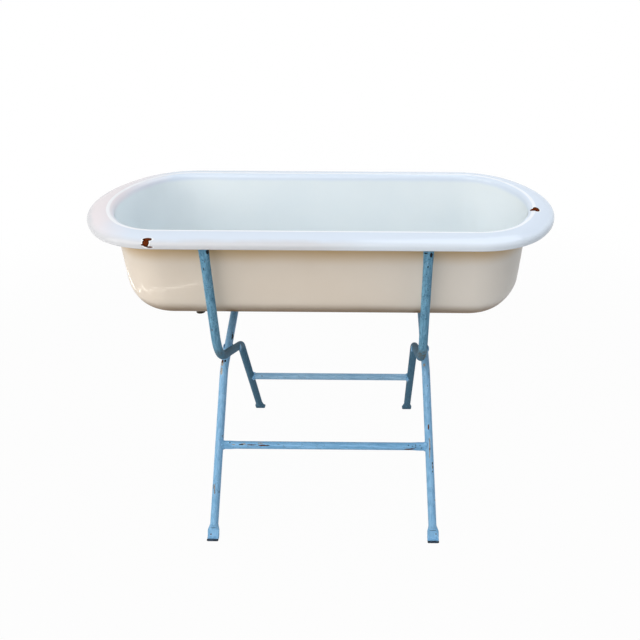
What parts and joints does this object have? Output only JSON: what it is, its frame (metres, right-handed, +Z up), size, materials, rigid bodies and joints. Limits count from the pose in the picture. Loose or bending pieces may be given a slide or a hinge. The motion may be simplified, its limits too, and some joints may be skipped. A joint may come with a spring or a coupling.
{
  "type": "baby bath on stand",
  "caption": "Oval enamelled steel bath with a rolled rim and a plugged waste, hung by its rim in a folding scissor stand of bent tube.",
  "frame": {"origin": "on the floor under the middle of the bath", "axes": "+X along the bath to its end without the waste, +Y across it to the back, +Z up; the front frame's feet are at -Y"},
  "size_m": [0.9998, 0.526, 0.748],
  "materials": {
    "enamel": "thick glossy vitreous enamel, cool white on the rim, grey-white inside, ivory outside, chipped to rust at the rim",
    "stand_paint": "old sky-blue gloss paint, brushed on, chipped to grey primer and rust",
    "waste_brass": "tarnished, nearly black",
    "black_rubber": "matt, a little greyed",
    "ring_wire": "dull plated wire"
  },
  "bodies": {
    "front_frame": {"front_frame_leg_left": "stand_paint", "front_frame_leg_right": "stand_paint", "front_stretcher": "stand_paint", "front_stretcher_weld_left": "stand_paint", "front_stretcher_weld_right": "stand_paint", "pivot_rivet_left": "stand_paint", "pivot_rivet_right": "stand_paint", "pivot_washer_left": "stand_paint", "pivot_washer_right": "stand_paint"},
    "rear_frame": {"rear_frame_leg_left": "stand_paint", "rear_frame_leg_right": "stand_paint", "rear_stretcher": "stand_paint", "rear_stretcher_weld_left": "stand_paint", "rear_stretcher_weld_right": "stand_paint"},
    "tub": {"tub_shell": "enamel", "waste_body": "waste_brass", "waste_top_seal": "black_rubber", "waste_under_seal": "black_rubber", "waste_nut": "waste_brass"},
    "plug": {"waste_plug": "black_rubber", "plug_pull_ring": "ring_wire"}
  },
  "joints": [
    {"name": "tub_lift", "type": "slide", "parent": "front_frame", "child": "tub", "axis": [0, 0.2079, 0.9781], "range_m": [0, 1.08]},
    {"name": "stand_fold", "type": "hinge", "parent": "front_frame", "child": "rear_frame", "pos_m": [0, 0, 0.368], "axis": [-1, 0, 0], "range_deg": [0, 58]},
    {"name": "plug_lift", "type": "slide", "parent": "tub", "child": "plug", "axis": [0, 0, 1], "range_m": [0, 0.26]}
  ],
  "couplings": [
    {"joint": "stand_fold", "follows": "tub_lift", "rad_per_m": 0.9372}
  ]
}
